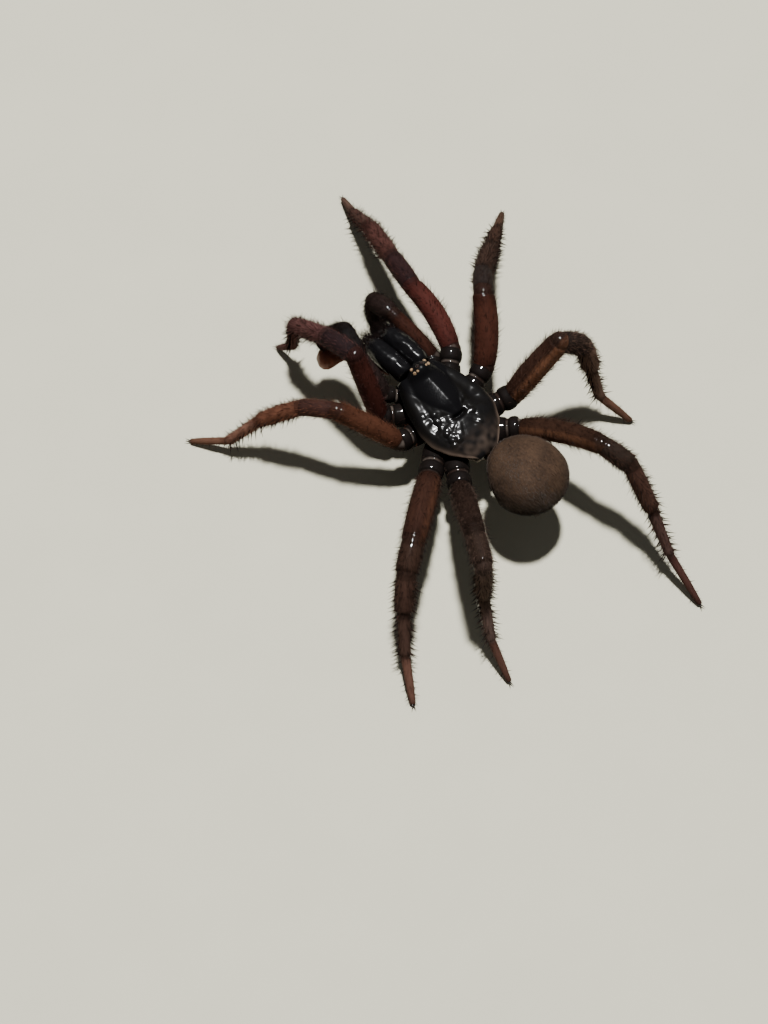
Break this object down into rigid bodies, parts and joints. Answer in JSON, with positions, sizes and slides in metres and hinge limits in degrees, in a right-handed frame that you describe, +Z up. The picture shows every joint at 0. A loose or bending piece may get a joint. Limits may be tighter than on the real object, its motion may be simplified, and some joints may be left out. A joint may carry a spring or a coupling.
{
  "type": "trapdoor spider",
  "caption": "Life-size still model of a male trapdoor spider standing on its feet, with glossy black carapace, red-brown legs and a brown velvet abdomen.",
  "frame": {"origin": "middle of the footprint, on the floor that the feet stand on", "axes": "+Z up, the head points toward -Y, the animal's left side is +X"},
  "size_m": [0.0288, 0.039, 0.0087],
  "materials": {
    "shell": "glossy black chitin",
    "eyes": "glossy dark eyes",
    "underside": "satin black-brown chitin",
    "membrane": "pale soft skin",
    "velvet": "matt brown velvet hair",
    "claw": "glossy black-red fang and claw",
    "femur_front": "glossy dark red chitin",
    "shin_front": "glossy purple-brown chitin",
    "femur_rear": "satin orange-brown chitin",
    "shin_rear": "satin dark brown chitin with hair",
    "foot": "satin red-brown chitin",
    "bulb": "glossy orange-red bulb"
  },
  "bodies": {
    "root": {"carapace": "shell", "eye_tubercle": "eyes", "sternum": "underside", "pedicel": "membrane", "abdomen": "velvet", "chelicera_left": "shell", "fang_left": "claw", "spinneret_left": "velvet", "palp_left_coxa": "underside", "palp_left_femur": "femur_front", "palp_left_patella_tibia": "shin_front", "palp_left_tarsus": "foot", "palp_left_bulb": "bulb", "leg1_left_coxa": "underside", "leg1_left_femur": "femur_front", "leg1_left_patella_tibia": "shin_front", "leg1_left_metatarsus_tarsus": "foot", "leg2_left_coxa": "underside", "leg2_left_femur": "femur_rear", "leg2_left_patella_tibia": "shin_rear", "leg2_left_metatarsus_tarsus": "foot", "leg3_left_coxa": "underside", "leg3_left_femur": "femur_rear", "leg3_left_patella_tibia": "shin_rear", "leg3_left_metatarsus_tarsus": "foot", "leg4_left_coxa": "underside", "leg4_left_femur": "femur_rear", "leg4_left_patella_tibia": "shin_rear", "leg4_left_metatarsus_tarsus": "foot", "chelicera_right": "shell", "fang_right": "claw", "spinneret_right": "velvet", "palp_right_coxa": "underside", "palp_right_femur": "femur_front", "palp_right_patella_tibia": "shin_front", "palp_right_tarsus": "foot", "palp_right_bulb": "bulb", "leg1_right_coxa": "underside", "leg1_right_femur": "femur_front", "leg1_right_patella_tibia": "shin_front", "leg1_right_metatarsus_tarsus": "foot", "leg2_right_coxa": "underside", "leg2_right_femur": "femur_rear", "leg2_right_patella_tibia": "shin_rear", "leg2_right_metatarsus_tarsus": "foot", "leg3_right_coxa": "underside", "leg3_right_femur": "femur_rear", "leg3_right_patella_tibia": "shin_rear", "leg3_right_metatarsus_tarsus": "foot", "leg4_right_coxa": "underside", "leg4_right_femur": "femur_rear", "leg4_right_patella_tibia": "shin_rear", "leg4_right_metatarsus_tarsus": "foot"}
  },
  "joints": []
}
